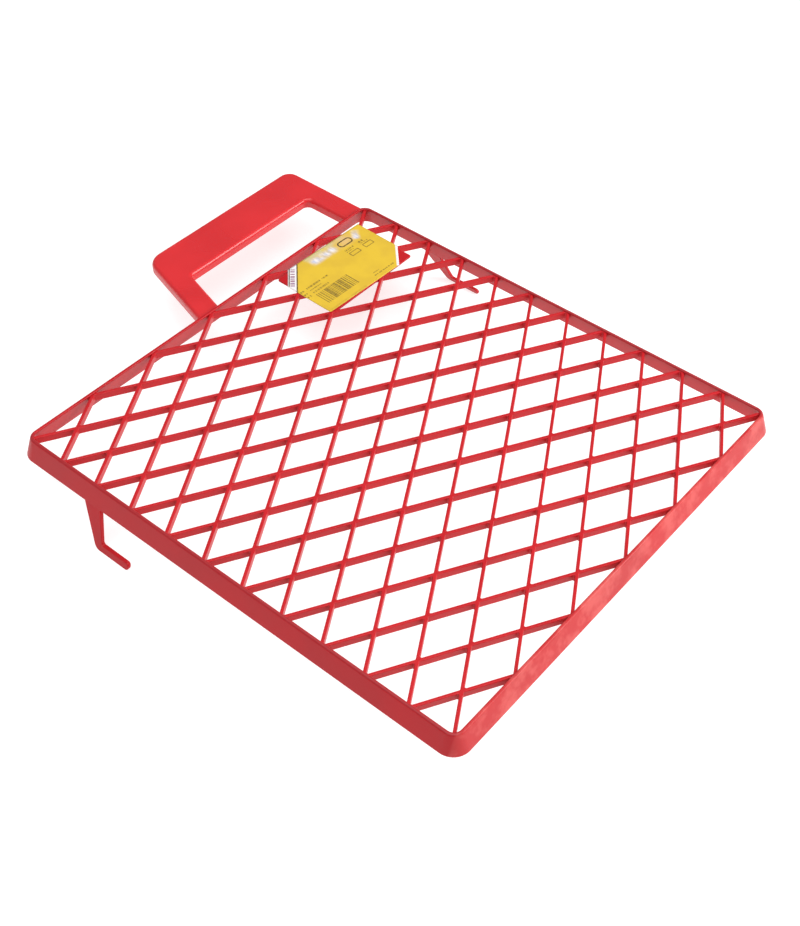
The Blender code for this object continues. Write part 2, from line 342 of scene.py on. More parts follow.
def make_red_plastic(name, red, shine, rough_low, scuffs, scuff_turn=0.0, scuffs_from=None, rim_painted_light=False):
    """Semi-gloss moulded plastic: flow marks, a fine grain and light scuffs.

    shine is the specular level and rough_low the roughness of its smoothest places. Scuffs
    start at the height scuffs_from if it is given. The last flag adds painted shade and sheen
    on the top edge of the rim's long sides, and a pale painted sheen on the foot wall.
    """
    material, nodes, shader, place = new_material(name)
    grain = nodes.group(GRAIN, Vector=place, Grain_Scale=2600.0, Flow_Scale=32.0)
    marks = nodes.group(SCUFFS, Vector=place, Amount=scuffs, Turn=scuff_turn)
    mask = marks.outputs["Mask"]
    if scuffs_from is not None:
        above = nodes.ramp(nodes.split(place)["Z"], scuffs_from, scuffs_from + 0.5 * MM)
        mask = nodes.math("MULTIPLY", mask, above)
    flow = nodes.ramp(grain.outputs["Mottle"], 0.3, 0.7)
    deep = tuple(part * 0.9 for part in red[:3]) + (1.0,)
    colour = nodes.mix(flow, deep, red)
    colour = nodes.mix(nodes.math("MULTIPLY", mask, 0.35), colour, RED_PALE)
    rough = nodes.ramp(grain.outputs["Mottle"], 0.25, 0.75, rough_low, rough_low + 0.12)
    nodes.feed(shader.inputs["Roughness"], nodes.math("ADD", rough, nodes.math("MULTIPLY", mask, 0.22)))
    shader.inputs["IOR"].default_value = 1.49
    shader.inputs["Specular IOR Level"].default_value = shine
    # Painted shade and sheen on the long sides' top edge, and a pale painted sheen on the foot wall.
    if rim_painted_light:
        edge = nodes.math("MULTIPLY", side_top_painted_shade(nodes, place), 0.85)
        colour = nodes.mix(edge, colour, RED_PAINTED_EDGE_SHADE)
        painted_sheen = nodes.math("MULTIPLY", foot_painted_sheen(nodes, place), 0.45)
        colour = nodes.mix(painted_sheen, colour, RED_PAINTED_SHEEN)
    nodes.feed(shader.inputs["Base Color"], colour)
    shader.inputs["Subsurface Weight"].default_value = 0.12
    shader.inputs["Subsurface Radius"].default_value = (1.0, 0.12, 0.08)
    shader.inputs["Subsurface Scale"].default_value = 1.2 * MM
    bump(nodes, shader, nodes.math("SUBTRACT", grain.outputs["Height"], mask), 0.03 * MM, 0.6)
    return material


YELLOW = (0.78, 0.52, 0.036, 1.0)
YELLOW_DEEP = (0.72, 0.47, 0.036, 1.0)
WHITE = (0.88, 0.84, 0.85, 1.0)
LILAC = (0.55, 0.57, 0.74, 1.0)
PEACH = (0.78, 0.50, 0.24, 1.0)
PALE_GREEN = (0.58, 0.58, 0.38, 1.0)
BLACK_INK = (0.045, 0.025, 0.02, 1.0)
OLIVE_INK = (0.22, 0.14, 0.02, 1.0)
VIOLET_INK = (0.24, 0.07, 0.26, 1.0)

LABEL_SIZE = Vector((69.8, 44.1)) * MM
LABEL_LEFT_CUT = 10.7 * MM
LABEL_RIGHT_CUT = 12.5 * MM
LABEL_TURN = math.radians(-1.6)
LABEL_MIDDLE = (label_low + label_high) / 2


def slanted(distance, along):
    """A place given by its distance from the label's middle and its run along the cut corner."""
    return ((along - distance) / math.sqrt(2), (along + distance) / math.sqrt(2))


# Middle, half size, softness of the edge (all in millimetres), turn, weight and colour.
PRINT_PATCHES_AND_EDGE_SHADE = (
    ((3.5, 20.6), (15.5, 1.7), 1.8, 0, 0.70, PALE_GREEN),
    ((16.8, 17.0), (6.6, 4.4), 2.2, 0, 0.70, PEACH),
    ((-1.0, 16.0), (9.6, 2.4), 2.2, 0, 1.00, None),
    ((26.4, 16.4), (1.9, 4.2), 1.6, -38, 0.95, None),
    # The olive band is painted shade along the film's lower left edge, not print.
    ((-19.0, -21.4), (14.5, 0.9), 1.0, 0, 0.30, OLIVE_INK),
)
# Distance from the label's middle, run along the cut corner, half size and softness.
CORNER_STRIPS = (
    (30.4, -9.3, (13.5, 3.0), 0.05),
    (-30.8, 9.2, (9.6, 0.75), 0.15),
)


def make_label_paper():
    """Satin printed film: yellow field, white corner strips, soft pale patches, painted shade on its lower
    edge.
    """
    material, nodes, shader, place = new_material("label_film")
    on_label = nodes.mapped(place, LABEL_MIDDLE, LABEL_TURN)
    grain = nodes.group(GRAIN, Vector=place, Grain_Scale=3800.0, Flow_Scale=60.0)

    def patch(middle, half, softness, turn=0.0):
        local = nodes.mapped(on_label, (middle[0] * MM, middle[1] * MM, 0), turn)
        node = nodes.group(PATCH, Vector=local, Softness=softness * MM)
        node.inputs["Half Width"].default_value = half[0] * MM
        node.inputs["Half Height"].default_value = half[1] * MM
        return node.outputs["Mask"]

    cloud = nodes.ramp(nodes.noise(on_label, 70, 2.0), 0.35, 0.65)
    colour = nodes.mix(cloud, YELLOW_DEEP, YELLOW)
    stripes = nodes.mapped(on_label, scale=(1, 3, 1))
    blotch = nodes.ramp(nodes.noise(stripes, 620, 2.0, 0.6), 0.36, 0.64)
    pale = nodes.mix(blotch, LILAC, WHITE)
    fade = nodes.ramp(nodes.noise(on_label, 190, 2.0), 0.34, 0.58, 0.45, 1.0)
    for middle, half, softness, turn, weight, shade in PRINT_PATCHES_AND_EDGE_SHADE:
        mask = nodes.math("MULTIPLY", patch(middle, half, softness, math.radians(turn)), weight)
        mask = nodes.math("MULTIPLY", mask, fade)
        colour = nodes.mix(mask, colour, pale if shade is None else shade)
    for distance, along, half, softness in CORNER_STRIPS:
        middle = slanted(distance, along)
        colour = nodes.mix(patch(middle, half, softness, math.radians(45)), colour, WHITE)
    nodes.feed(shader.inputs["Base Color"], colour)
    nodes.feed(shader.inputs["Roughness"], nodes.ramp(grain.outputs["Mottle"], 0.3, 0.7, 0.30, 0.42))
    shader.inputs["Specular IOR Level"].default_value = 0.35
    shader.inputs["Coat Weight"].default_value = 0.1
    shader.inputs["Coat Roughness"].default_value = 0.12
    bump(nodes, shader, grain.outputs["Height"], 0.02 * MM, 0.5)
    return material


def make_ink(name, shade):
    """Printing ink, a little uneven, with the film's satin face."""
    material, nodes, shader, place = new_material(name)
    grain = nodes.group(GRAIN, Vector=place, Grain_Scale=5200.0, Flow_Scale=700.0)
    thin = nodes.ramp(grain.outputs["Mottle"], 0.35, 0.65)
    worn = tuple(0.75 * part + 0.25 * paper for part, paper in zip(shade[:3], YELLOW)) + (1.0,)
    nodes.feed(shader.inputs["Base Color"], nodes.mix(thin, worn, shade))
    nodes.feed(shader.inputs["Roughness"], nodes.ramp(grain.outputs["Mottle"], 0.3, 0.7, 0.36, 0.5))
    bump(nodes, shader, grain.outputs["Height"], 0.01 * MM, 0.5)
    return material


# One plastic in three copies: the body's darker red is painted shade on the rim, plate and hooks, the
# handle's lighter red is painted light, and the ribs' red lies between them.
red_body_painted_shade = make_red_plastic(
    "red_plastic_body", (0.53, 0.008, 0.014, 1.0), shine=0.27, rough_low=0.30, scuffs=0.5, rim_painted_light=True)
red_ribs = make_red_plastic(
    "red_plastic_ribs", (0.57, 0.012, 0.018, 1.0), shine=0.31, rough_low=0.30, scuffs=0.9,
    scuff_turn=math.radians(30), scuffs_from=rib_high.z - 0.7 * MM)
red_handle_painted_light = make_red_plastic(
    "red_plastic_handle", (0.72, 0.017, 0.023, 1.0), shine=0.65, rough_low=0.23, scuffs=0.8,
    scuff_turn=math.radians(8))
label_paper = make_label_paper()
black_ink = make_ink("black_ink", BLACK_INK)
olive_ink = make_ink("olive_ink", OLIVE_INK)
violet_ink = make_ink("violet_ink", VIOLET_INK)


# ---------------------------------------------------------------- Geometry Nodes helpers
class Fields(Nodes):
    """A short way to write a Geometry Nodes tree with named inputs."""

    def __init__(self, name, inputs):
        super().__init__(bpy.data.node_groups.new(name, "GeometryNodeTree"))
        interface = self.tree.interface
        interface.new_socket("Geometry", in_out="INPUT", socket_type="NodeSocketGeometry")
        self.named = {}
        for label, kind, value in inputs:
            socket = interface.new_socket(label, in_out="INPUT", socket_type="NodeSocket" + kind)
            if kind in ("Float", "Int"):
                socket.default_value = value
            self.named[label] = socket.identifier
        interface.new_socket("Geometry", in_out="OUTPUT", socket_type="NodeSocketGeometry")
        self.entry = self.add("NodeGroupInput")
        self.leave = self.add("NodeGroupOutput")

    def given(self, label):
        return self.entry.outputs[label]

    def weld(self, geometry):
        """Geometry whose vertices in one place are made one."""
        node = self.add("GeometryNodeMergeByDistance")
        node.inputs["Distance"].default_value = SAME_PLACE
        self.feed(node.inputs["Geometry"], geometry)
        return node.outputs[0]

    def finish(self, geometry):
        """Close the tree: real geometry, in the material given."""
        real = self.add("GeometryNodeRealizeInstances")
        self.feed(real.inputs[0], geometry)
        coated = self.add("GeometryNodeSetMaterial")
        self.feed(coated.inputs["Geometry"], real.outputs[0])
        self.feed(coated.inputs["Material"], self.given("Material"))
        self.feed(self.leave.inputs[0], coated.outputs[0])


def grow(name, fields, values):
    """Run a tree on a piece and keep the result as a plain mesh."""
    piece = new_object(name, bpy.data.meshes.new(name))
    modifier = piece.modifiers.new(name, "NODES")
    modifier.node_group = fields.tree
    for label, value in values.items():
        modifier[fields.named[label]] = value
    return settle(piece)


# ---------------------------------------------------------------- rim
RIM_CORNER_STEPS = 14
# Rounding of the wall's section: outer top, outer bottom, inner bottom and inner top edge.
RIM_EDGE_RADII = [1.3 * MM, 0.35 * MM, 0.35 * MM, 0.7 * MM]


def rim_outline(offset):
    """The rim's rounded rectangle in plan, grown by offset."""
    x = HALF_WIDTH + offset
    y = HALF_LENGTH + offset
    corners = [(x, y), (-x, y), (-x, -y), (x, -y)]
    outline = rounded(corners, [CORNER_RADIUS + offset] * 4, RIM_CORNER_STEPS)
    return [Vector((point.x, point.y + CENTRE_Y)) for point in outline]


def flare_at(height):
    """How far the rim's outer face stands out at a height, from its top edge."""
    return FLARE * (RIM_TOP - height)


def make_rim():
    """The flared wall as one closed sweep, its edges rounded."""
    bottom = flare_at(RIM_BOTTOM)
    corners = [(0, RIM_TOP), (bottom, RIM_BOTTOM), (bottom - WALL, RIM_BOTTOM), (-WALL, RIM_TOP)]
    section = rounded(corners, RIM_EDGE_RADII, 5)
    rings = [[(*point, height) for point in rim_outline(offset)] for offset, height in section]
    rim = new_piece("rim", loft(rings, closed=True))
    soften_flats(rim)
    return settle(rim)


# ---------------------------------------------------------------- rib lattice
PITCH_X = 2 * HALF_WIDTH / CELLS_X
PITCH_Y = 2 * (HALF_LENGTH - LATTICE_INSET) / CELLS_Y
HOLE_FILLET = 0.7 * MM
RIB_TOP_ROUND = 0.4 * MM
RIB_BOTTOM_ROUND = 0.2 * MM


def diamond(grow_by, radius, segments):
    """One diamond hole's outline, drawn out by grow_by, with filleted corners."""
    side = math.hypot(PITCH_X, PITCH_Y)
    shrink = 1 - (RIB_WIDTH / 2 - grow_by) * 2 * side / (PITCH_X * PITCH_Y)
    x = PITCH_X / 2 * shrink
    y = PITCH_Y / 2 * shrink
    return rounded([(x, 0), (0, y), (-x, 0), (0, -y)], [radius + grow_by] * 4, segments)


def make_tile():
    """One cell of the lattice: half a rib's width round a filleted hole, open at its outer edge."""
    segments = 6
    bottom_steps = 3
    top_steps = 4
    reach = 2.4 * MM                            # the border's points stand this far from its corners
    rings = []
    for step in range(bottom_steps + 1):
        angle = math.pi / 2 * step / bottom_steps
        outline = diamond(RIB_BOTTOM_ROUND * (1 - math.sin(angle)), HOLE_FILLET, segments)
        rings.append((outline, rib_low.z + RIB_BOTTOM_ROUND * (1 - math.cos(angle))))
    for step in range(top_steps + 1):
        angle = math.pi / 2 * step / top_steps
        outline = diamond(RIB_TOP_ROUND * (1 - math.cos(angle)), HOLE_FILLET, segments)
        rings.append((outline, rib_high.z - RIB_TOP_ROUND * (1 - math.sin(angle))))
    border = []
    cell = diamond(RIB_WIDTH / 2, -RIB_WIDTH / 2, 1)[::2]
    for index, corner in enumerate(cell):
        before = (cell[index - 1] - corner).normalized()
        after = (cell[(index + 1) % 4] - corner).normalized()
        for step in range(segments + 1):
            place = 2 * step / segments - 1
            border.append(corner + (before if place < 0 else after) * abs(place) * reach)
    builder = bmesh.new()
    outlines = [(border, rib_low.z)] + rings + [(border, rib_high.z)]
    loops = [[builder.verts.new((*point, height)) for point in ring] for ring, height in outlines]
    for lower, upper in zip(loops, loops[1:]):
        join_loops(builder, lower, upper)
    tile = new_piece("lattice_tile", builder)
    bpy.context.scene.collection.objects.unlink(tile)
    return tile


def lattice_fields():
    """Cells on a diamond grid, welded, closed round the outside and trimmed to a shape."""
    fields = Fields("diamond_lattice", [
        ("Cell", "Object", None),
        ("Trim", "Object", None),
        ("Pitch X", "Float", 0.04),
        ("Pitch Y", "Float", 0.02),
        ("Columns", "Int", 15),
        ("Rows", "Int", 25),
        ("Centre Y", "Float", 0.0),
        ("Height", "Float", 0.004),
        ("Material", "Material", None),
    ])
    grid = fields.add("GeometryNodeMeshGrid")
    for size, count, pitch in (("Size X", "Columns", "Pitch X"), ("Size Y", "Rows", "Pitch Y")):
        steps = fields.math("SUBTRACT", fields.given(count), 1.0)
        half_pitch = fields.math("MULTIPLY", fields.given(pitch), 0.5)
        fields.feed(grid.inputs[size], fields.math("MULTIPLY", steps, half_pitch))
    fields.feed(grid.inputs["Vertices X"], fields.given("Columns"))
    fields.feed(grid.inputs["Vertices Y"], fields.given("Rows"))
    index = fields.add("GeometryNodeInputIndex").outputs[0]
    column = fields.math("FLOOR", fields.math("DIVIDE", index, fields.given("Rows")))
    row = fields.math("MODULO", index, fields.given("Rows"))
    middle = fields.math("MULTIPLY", fields.math("ADD", fields.given("Columns"), fields.given("Rows")), 0.5)
    from_middle = fields.math("SUBTRACT", fields.math("ADD", column, row), middle)
    odd = fields.math("MODULO", fields.math("ABSOLUTE", fields.math("ADD", from_middle, 1.0)), 2.0)
    cells = fields.add("GeometryNodeInstanceOnPoints")
    fields.feed(cells.inputs["Points"], grid.outputs["Mesh"])
    fields.feed(cells.inputs["Selection"], fields.math("LESS_THAN", odd, 0.5))
    cell = fields.add("GeometryNodeObjectInfo")
    fields.feed(cell.inputs["Object"], fields.given("Cell"))
    fields.feed(cells.inputs["Instance"], cell.outputs["Geometry"])
    real = fields.add("GeometryNodeRealizeInstances")
    fields.feed(real.inputs[0], cells.outputs[0])
    moved = fields.add("GeometryNodeTransform")
    fields.feed(moved.inputs["Geometry"], real.outputs[0])
    fields.feed(moved.inputs["Translation"], fields.join(Y=fields.given("Centre Y")))
    welded = fields.weld(moved.outputs[0])

    neighbours = fields.add("GeometryNodeInputMeshEdgeNeighbors").outputs[0]
    position = fields.split(fields.add("GeometryNodeInputPosition").outputs[0])
    upper = fields.math("GREATER_THAN", position["Z"], rib_high.z - 0.1 * MM)
    open_edge = fields.math("LESS_THAN", neighbours, 1.5)
    wall = fields.add("GeometryNodeExtrudeMesh", mode="EDGES")
    fields.feed(wall.inputs["Mesh"], welded)
    fields.feed(wall.inputs["Selection"], fields.math("MULTIPLY", upper, open_edge))
    fields.feed(wall.inputs["Offset"], fields.join(Z=fields.math("MULTIPLY", fields.given("Height"), -1.0)))
    closed = fields.weld(wall.outputs["Mesh"])

    trim = fields.add("GeometryNodeObjectInfo")
    fields.feed(trim.inputs["Object"], fields.given("Trim"))
    kept = fields.add("GeometryNodeMeshBoolean", operation="INTERSECT", solver="EXACT")
    fields.tree.links.new(closed, kept.inputs["Mesh 2"])
    fields.tree.links.new(trim.outputs["Geometry"], kept.inputs["Mesh 2"])
    fields.finish(kept.outputs["Mesh"])
    return fields


def make_lattice():
    """Ribs, cut off inside the rim's wall."""
    rings = []
    for height in (rib_low.z - 2 * MM, rib_high.z + 2 * MM):
        outline = rim_outline(flare_at(height) - WALL + SINK)
        rings.append([(*point, height) for point in outline])
    trim = new_piece("rim_inside", loft(rings))
    tile = make_tile()
    lattice = grow("ribs", lattice_fields(), {
        "Cell": tile,
        "Trim": trim,
        "Pitch X": PITCH_X,
        "Pitch Y": PITCH_Y,
        "Columns": 2 * CELLS_X + 3,
        "Rows": 2 * CELLS_Y + 3,
        "Centre Y": CENTRE_Y,
        "Height": rib_high.z - rib_low.z,
        "Material": red_ribs,
    })
    for helper in (trim, tile):
        bpy.data.objects.remove(helper, do_unlink=True)
    lattice.data.shade_smooth()
    lattice.data.set_sharp_from_angle(angle=SHARP_ANGLE)
    soften_flats(lattice)
    return settle(lattice)


# ---------------------------------------------------------------- label plate
PLATE_LIFT = 0.05 * MM                          # keeps the plate's top clear of the ribs' own
PLATE_CORNER = 1.2 * MM


def make_plate():
    """The thin backing plate, level with the rib tops, its edges rounded."""
    x = (plate_high.x - plate_low.x) / 2
    y = (plate_high.y - plate_low.y) / 2
    middle = (plate_high + plate_low) / 2
    top = plate_high.z + PLATE_LIFT
    inner = 2 * MM
    steps = 4
    section = rounded(
        [(0, plate_low.z), (0, top), (inner, top), (inner, plate_low.z)], [0.2 * MM, 0.45 * MM, 0, 0], steps)
    rings = []
    for inset, height in section[:2 * (steps + 1)]:  # the two outer edges; the loft caps the rest
        corners = [(middle.x + i * (x - inset), middle.y + j * (y - inset))
                   for i, j in ((1, 1), (-1, 1), (-1, -1), (1, -1))]
        outline = rounded(corners, [PLATE_CORNER - inset] * 4, 6)
        rings.append([(*point, height) for point in outline])
    plate = new_piece("label_backing", loft(rings))
    soften_flats(plate)
    return settle(plate)


# ---------------------------------------------------------------- handle
GRIP_OUTER_Y = grip_high.y
GRIP_WIDTH = 29.4 * MM
GRIP_INNER_Y = GRIP_OUTER_Y - GRIP_WIDTH
ARM_RIGHT_X = arm_high.x
ARM_WIDTH = arm_high.x - arm_low.x
ARM_LEAN = math.radians(16.2)                   # the left arm leans, the right one is straight
ARM_ROOTS_WIDTH = 137.3 * MM                    # outside, where the arms leave the rim
HANDLE_ROUND = 2.3 * MM
HANDLE_SKIN = 2.2 * MM
HANDLE_LIP = 2.0 * MM
OPENING_LEFT_RADIUS, OPENING_RIGHT_RADIUS = 2 * MM, 4 * MM
GRIP_RIGHT_RADIUS, GRIP_LEFT_RADIUS = 7.5 * MM, 11.5 * MM
# How far the arms run into the rim's wall: the channel's inner faces, then its outer ones.
INNER_ROOT, OUTER_ROOT = 0.8 * MM, 1.5 * MM


def left_arm_x(y, shift):
    """X of a line that leans with the left arm, shift inside its outer edge."""
    root_y = CENTRE_Y + HALF_LENGTH
    root = ARM_RIGHT_X - ARM_ROOTS_WIDTH
    return root + math.tan(ARM_LEAN) * (y - root_y) + shift / math.cos(ARM_LEAN)


def handle_outline(inset, height, depth):
    """The handle's U in plan, drawn in by inset, its roots depth inside the rim's outer face."""
    root_y = CENTRE_Y + HALF_LENGTH + flare_at(height) - depth
    outer_y = GRIP_OUTER_Y - inset
    inner_y = GRIP_INNER_Y + inset
    outer_x = ARM_RIGHT_X - inset
    inner_x = ARM_RIGHT_X - ARM_WIDTH + inset
    arm = ARM_WIDTH - inset
    corners = [
        (left_arm_x(root_y, inset), root_y),
        (left_arm_x(root_y, arm), root_y),
        (left_arm_x(inner_y, arm), inner_y),
        (inner_x, inner_y),
        (inner_x, root_y),
        (outer_x, root_y),
        (outer_x, outer_y),
        (left_arm_x(outer_y, inset), outer_y),
    ]
    radii = [
        0, 0, OPENING_LEFT_RADIUS + inset, OPENING_RIGHT_RADIUS + inset,
        0, 0, GRIP_RIGHT_RADIUS - inset, GRIP_LEFT_RADIUS - inset,
    ]
    return [(*point, height) for point in rounded(corners, radii, 12)]


def make_handle():
    """A channel section with a broad flat top and well rounded edges."""
    top = grip_high.z
    bottom = grip_low.z
    ceiling = top - HANDLE_SKIN
    inner = HANDLE_LIP + 4 * MM
    steps = 6
    edge = steps + 1                            # points that one rounded edge takes
    section = rounded(
        [(inner, ceiling), (HANDLE_LIP, ceiling), (HANDLE_LIP, bottom), (0, bottom), (0, top), (inner, top)],
        [0, 0.8 * MM, 0.4 * MM, 0.5 * MM, HANDLE_ROUND, 0],
        steps,
    )[edge:-edge]                               # the first and the last corner only give directions
    rings = []
    for index, (inset, height) in enumerate(section):
        inside_channel = index < 2 * edge
        rings.append(handle_outline(inset, height, INNER_ROOT if inside_channel else OUTER_ROOT))
    handle = new_piece("loop_handle", loft(rings))
    soften_flats(handle)
    return settle(handle)


# ---------------------------------------------------------------- hooks
HOOK_THICKNESS = 2.1 * MM
HOOK_LEAN = math.tan(math.radians(20.8))        # the hooks lean outwards as they go down
HOOK_BAR = 3.9 * MM                             # height of the bar
HOOK_LEG = 11.6 * MM                            # width of the leg at the rim
HOOK_REAR_TAPER = 12.2 * MM                     # how far the leg's rear edge runs forwards
HOOK_FRONT_TAPER = 4.4 * MM                     # and its front edge


def make_hook(node, name):
    """A flat hook below the side wall: a tapered leg and a bar towards the foot."""
    low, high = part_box(node)
    side = 1 if low.x > 0 else -1
    outer_bottom = max(abs(low.x), abs(high.x))
    drop = high.z - low.z
    up = SINK + (RIM_BOTTOM - high.z) + 0.6 * MM
    rear, tip = high.y, low.y
    front = rear - HOOK_LEG
    throat = front - HOOK_FRONT_TAPER
    corners = [
        (rear + HOOK_REAR_TAPER * up / drop, high.z + up),
        (front + HOOK_FRONT_TAPER * up / (drop - HOOK_BAR), high.z + up),
        (throat, low.z + HOOK_BAR),
        (tip, low.z + HOOK_BAR),
        (tip, low.z),
        (rear - HOOK_REAR_TAPER, low.z),
    ]
    outline = rounded(corners, [0, 0, 1.5 * MM, 1.9 * MM, 1.9 * MM, 5 * MM], 10)
    rings = []
    for depth in (0.0, HOOK_THICKNESS):
        ring = []
        for y, height in outline:
            face = outer_bottom - HOOK_LEAN * (height - low.z) - depth
            ring.append((side * face, y, height))
        rings.append(ring)
    hook = new_piece(name, loft(rings))
    edge = hook.modifiers.new("rounded_edges", "BEVEL")
    edge.width = 0.45 * MM
    edge.segments = 4
    edge.limit_method = "ANGLE"
    edge.angle_limit = math.radians(40)
    soften_flats(hook)
    return settle(hook)


# ---------------------------------------------------------------- label
LABEL_FACE = plate_high.z + 0.3 * MM
FILM_THICKNESS = 0.16 * MM
FILM_DROP = 0.08 * MM                           # the film's face under LABEL_FACE, and the print's middle
PRINT_DROP = 0.075 * MM
CORNER_LIFT = 0.35 * MM
RIPPLE = 0.02 * MM


def on_label(u, v, height):
    """A place on the label in the grid's frame."""
    point = Matrix.Rotation(LABEL_TURN, 2) @ Vector((u, v))
    return Vector((point.x + LABEL_MIDDLE.x, point.y + LABEL_MIDDLE.y, height))


def curl(u, v):
    """How far the film lifts: a slight ripple, and its lower left corner coming off."""
    x, y = LABEL_SIZE / 2
    corner = max(0.0, -u / x) * max(0.0, -v / y)
    ripple = math.sin(u / (9 * MM)) * math.sin(v / (7 * MM) + 1)
    return CORNER_LIFT * corner ** 6 + RIPPLE * ripple


def make_label():
    """A thin film, very slightly rippled, with one corner lifting."""
    builder = bmesh.new()
    bmesh.ops.create_grid(builder, x_segments=70, y_segments=44, size=0.5)
    for vertex in builder.verts:
        vertex.co.x *= LABEL_SIZE.x
        vertex.co.y *= LABEL_SIZE.y
    for sign, cut in ((1, LABEL_LEFT_CUT), (-1, LABEL_RIGHT_CUT)):
        across = Vector((-sign, sign, 0)).normalized()
        edge = Vector((-sign * LABEL_SIZE.x / 2, sign * (LABEL_SIZE.y / 2 - cut), 0))
        parts = builder.verts[:] + builder.edges[:] + builder.faces[:]
        bmesh.ops.bisect_plane(builder, geom=parts, plane_co=edge, plane_no=across, clear_outer=True)
    for vertex in builder.verts:
        u, v = vertex.co.x, vertex.co.y
        vertex.co = on_label(u, v, LABEL_FACE - FILM_DROP + curl(u, v))
    film = new_piece("label_film", builder)
    if film.data.polygons[0].normal.z < 0:
        film.data.flip_normals()
    thick = film.modifiers.new("film_thickness", "SOLIDIFY")
    thick.thickness = FILM_THICKNESS
    thick.offset = -1
    return settle(film)


# ---------------------------------------------------------------- print on the label
INK = 0.04 * MM                                 # thickness of the print, half of it in the film


def bars_fields():
    """A row of bars of random width with random gaps, flat on the XY plane."""
    fields = Fields("printed_bars", [
        ("Length", "Float", 0.02),
        ("Height", "Float", 0.01),
        ("Thickness", "Float", 0.0001),
        ("Bars", "Int", 20),
        ("Widest", "Int", 3),
        ("Seed", "Int", 0),
        ("Material", "Material", None),
    ])
    line = fields.add("GeometryNodeMeshLine")
    bars_and_gaps = fields.math("SUBTRACT", fields.math("MULTIPLY", fields.given("Bars"), 2), 1)
    fields.feed(line.inputs["Count"], bars_and_gaps)
    random = fields.add("FunctionNodeRandomValue", data_type="INT")
    fields.feed(random.inputs[4], 1)
    fields.feed(random.inputs[5], fields.given("Widest"))
    fields.feed(random.inputs["Seed"], fields.given("Seed"))
    amount = random.outputs[2]
    index = fields.add("GeometryNodeInputIndex").outputs[0]
    gap = fields.math("GREATER_THAN", fields.math("MODULO", index, 2), 0.5)
    running = fields.add("GeometryNodeAccumulateField", data_type="FLOAT")
    fields.feed(running.inputs[0], amount)
    unit = fields.math("DIVIDE", fields.given("Length"), running.outputs["Total"])
    half = fields.math("MULTIPLY", amount, 0.5)
    start = fields.math("ADD", running.outputs["Trailing"], half)
    half_length = fields.math("MULTIPLY", fields.given("Length"), 0.5)
    along = fields.math("SUBTRACT", fields.math("MULTIPLY", start, unit), half_length)
    moved = fields.add("GeometryNodeSetPosition")
    fields.feed(moved.inputs["Geometry"], line.outputs[0])
    fields.feed(moved.inputs["Position"], fields.join(X=along))
    width = fields.math("MULTIPLY", amount, unit)
    size = fields.join(X=width, Y=fields.given("Height"), Z=fields.given("Thickness"))
    bars = fields.add("GeometryNodeInstanceOnPoints")
    fields.feed(bars.inputs["Points"], moved.outputs[0])
    fields.feed(bars.inputs["Selection"], fields.math("SUBTRACT", 1.0, gap))
    fields.feed(bars.inputs["Instance"], fields.add("GeometryNodeMeshCube").outputs["Mesh"])
    fields.feed(bars.inputs["Scale"], size)
    fields.finish(bars.outputs[0])
    return fields


def frame_line(builder, middle, size, radius, stroke):
    """A closed printed line round a rounded rectangle."""
    under, over = -INK / 2, INK / 2
    loops = []
    for inset, level in ((0, under), (0, over), (stroke, over), (stroke, under)):
        x = size[0] / 2 - inset
        y = size[1] / 2 - inset
        edge = max(radius - inset, 0.05 * MM)
        outline = rounded([(x, y), (-x, y), (-x, -y), (x, -y)], [edge] * 4, 6)
        loops.append([builder.verts.new((*(point + Vector(middle)), level)) for point in outline])
    for index, loop in enumerate(loops):
        join_loops(builder, loop, loops[(index + 1) % 4])


PRINTED_BARS = bars_fields()


def lay_on_label(piece, middle=(0, 0), turn=0.0):
    """Carry flat print from the origin to its place on the film's face."""
    for vertex in piece.data.vertices:
        flat = Matrix.Rotation(turn, 2) @ vertex.co.xy + Vector(middle)
        height = LABEL_FACE + curl(*flat) - PRINT_DROP + vertex.co.z
        vertex.co = on_label(flat.x, flat.y, height)
    return piece


def print_row(name, ink, middle, size, bars, widest, seed, turn=0.0):
    """One row of bars or dashes about its middle, in millimetres and degrees on the label."""
    row = grow(name, PRINTED_BARS, {
        "Length": size[0] * MM,
        "Height": size[1] * MM,
        "Thickness": INK,
        "Bars": bars,
        "Widest": widest,
        "Seed": seed,
        "Material": ink,
    })
    return lay_on_label(row, (middle[0] * MM, middle[1] * MM), math.radians(turn))


def join_pieces(name, parts):
    """Put several plain pieces of one material into one."""
    builder = bmesh.new()
    for part in parts:
        builder.from_mesh(part.data)
        bpy.data.objects.remove(part, do_unlink=True)
    return new_piece(name, builder)


# Middle and size in millimetres, then how many bars, the widest bar and the seed.
OLIVE_ROWS = (
    ((-23.9, 2.0), (10.6, 1.3), 13, 4, 5),
    ((-14.5, 2.0), (4.5, 1.3), 6, 3, 6),
    ((-24.6, -0.6), (8.6, 0.8), 11, 3, 8),
    ((-22.9, -3.2), (12.2, 1.3), 15, 4, 9),
    ((-33.0, 1.8), (2.4, 1.3), 2, 2, 12),
    ((-33.2, -1.2), (2.6, 1.0), 2, 2, 13),
    ((-33.0, -4.0), (2.4, 1.5), 2, 2, 14),
    ((14.0, 9.7), (7.0, 1.2), 6, 5, 20),
    ((13.2, 8.1), (5.4, 0.9), 5, 4, 21),
    ((23.5, 9.6), (3.6, 1.6), 3, 5, 22),
    ((24.6, 7.9), (6.0, 0.8), 5, 4, 23),
    ((13.6, -18.4), (15.9, 0.9), 13, 4, 31),
    ((9.0, -16.2), (4.6, 0.5), 5, 3, 32),
)


